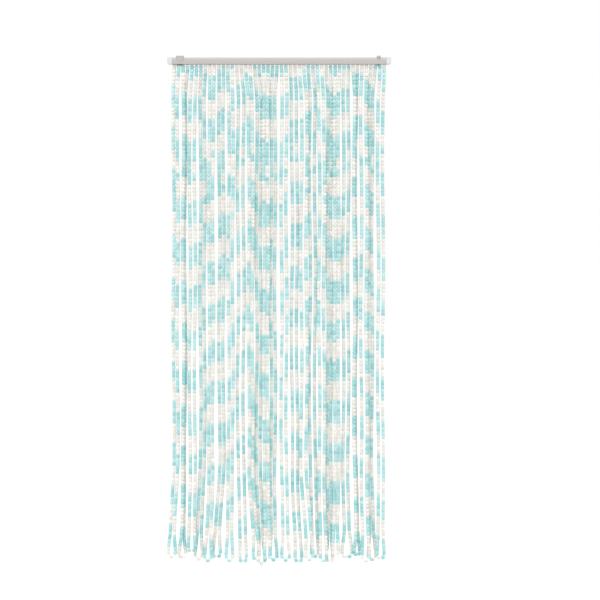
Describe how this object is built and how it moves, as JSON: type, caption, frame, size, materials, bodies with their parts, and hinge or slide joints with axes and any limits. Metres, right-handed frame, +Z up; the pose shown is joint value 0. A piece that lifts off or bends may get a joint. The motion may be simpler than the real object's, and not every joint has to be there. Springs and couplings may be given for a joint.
{
  "type": "bead curtain with rail",
  "caption": "Door curtain of looped strands of barrel beads in aqua and cream runs, hanging from an aluminium rail with end caps and wall clips.",
  "frame": {"origin": "on the face of the wall that holds the rail, behind the middle of the rail's length and height", "axes": "+X along the rail to its right end as seen from the front, +Y into the wall, +Z up"},
  "size_m": [0.9233, 0.0356, 2.0994],
  "materials": {
    "rail_aluminium": "satin anodised",
    "cap_plastic": "fine moulded satin",
    "clip_plastic": "moulded satin",
    "bead_aqua": "soft gloss, slightly translucent",
    "bead_cream": "soft gloss, slightly translucent"
  },
  "bodies": {
    "root": {"rail": "rail_aluminium", "end_cap_left": "cap_plastic", "end_cap_right": "cap_plastic", "wall_clip_left": "clip_plastic", "wall_clip_right": "clip_plastic", "bead_strands": "bead_aqua"}
  },
  "joints": []
}
